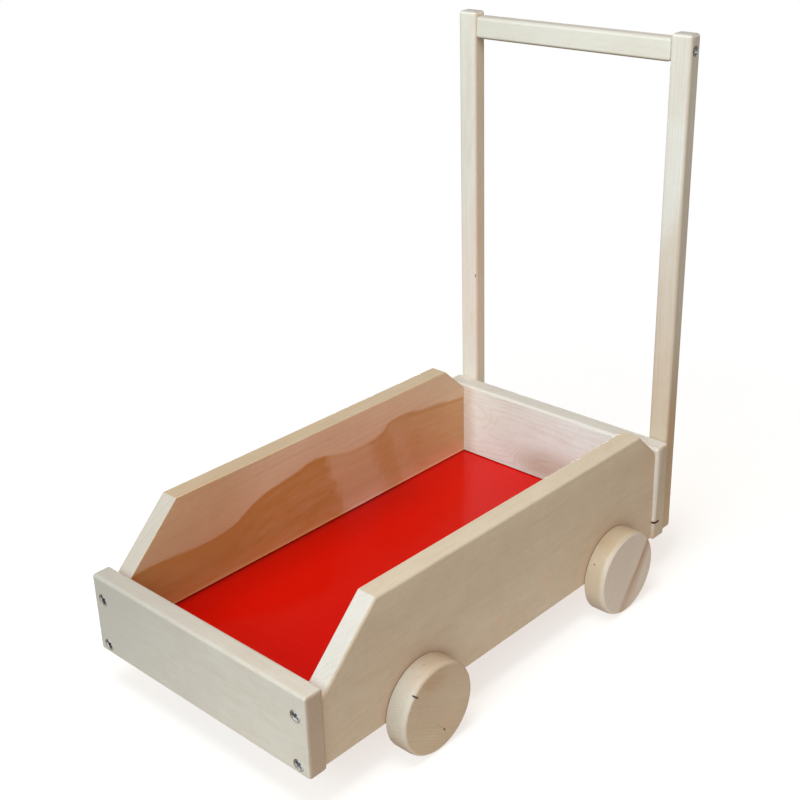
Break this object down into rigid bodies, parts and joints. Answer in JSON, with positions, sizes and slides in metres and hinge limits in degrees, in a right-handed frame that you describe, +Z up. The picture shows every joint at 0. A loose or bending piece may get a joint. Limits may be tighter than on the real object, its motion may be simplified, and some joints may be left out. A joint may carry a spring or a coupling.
{
  "type": "push walker",
  "caption": "Wooden push walker: an open box cart with a red floor on plain disc wheels, with an upright handle frame at the back for a child learning to walk.",
  "frame": {"origin": "on the ground under the middle of the part's box", "axes": "+X across the cart to its right as seen from the front, +Y from the front panel to the handle, +Z up"},
  "size_m": [0.2902, 0.482, 0.504],
  "materials": {
    "panel_wood": "pale maple, sanded, clear matt oil",
    "handle_wood": "pale maple, sanded, clear matt oil",
    "wheel_wood": "pale hardwood disc, sanded, clear matt oil",
    "axle_wood": "beech dowel, bare",
    "block_wood": "beech, bare",
    "floor_red": "thin board faced with a glossy red laminate",
    "zinc_steel": "bright zinc-plated steel"
  },
  "bodies": {
    "cart": {"side_panel_left": "panel_wood", "side_panel_right": "panel_wood", "front_panel": "panel_wood", "rear_panel": "panel_wood", "floor_panel": "floor_red", "handle_post_left": "handle_wood", "handle_post_right": "handle_wood", "handle_crossbar": "handle_wood", "axle_block_front_left": "block_wood", "axle_block_front_right": "block_wood", "axle_block_rear_left": "block_wood", "axle_block_rear_right": "block_wood", "washer_front_left": "zinc_steel", "washer_front_right": "zinc_steel", "washer_rear_left": "zinc_steel", "washer_rear_right": "zinc_steel", "front_screw_left_lower": "zinc_steel", "front_screw_left_upper": "zinc_steel", "front_screw_right_lower": "zinc_steel", "front_screw_right_upper": "zinc_steel", "post_screw_left_lower": "zinc_steel", "post_screw_left_upper": "zinc_steel", "post_screw_right_lower": "zinc_steel", "post_screw_right_upper": "zinc_steel", "bar_screw_left": "zinc_steel", "bar_screw_right": "zinc_steel", "block_screw_front_left_1": "zinc_steel", "block_screw_front_left_2": "zinc_steel", "block_screw_front_right_1": "zinc_steel", "block_screw_front_right_2": "zinc_steel", "block_screw_rear_left_1": "zinc_steel", "block_screw_rear_left_2": "zinc_steel", "block_screw_rear_right_1": "zinc_steel", "block_screw_rear_right_2": "zinc_steel"},
    "front_wheel_set": {"front_axle": "axle_wood", "wheel_front_left": "wheel_wood", "wheel_front_right": "wheel_wood"},
    "rear_wheel_set": {"rear_axle": "axle_wood", "wheel_rear_left": "wheel_wood", "wheel_rear_right": "wheel_wood"}
  },
  "joints": [
    {"name": "front_wheels_roll", "type": "hinge", "parent": "cart", "child": "front_wheel_set", "pos_m": [0, -0.11865, 0.04], "axis": [1, 0, 0], "continuous": true},
    {"name": "rear_wheels_roll", "type": "hinge", "parent": "cart", "child": "rear_wheel_set", "pos_m": [0, 0.14035, 0.04], "axis": [1, 0, 0], "continuous": true}
  ]
}
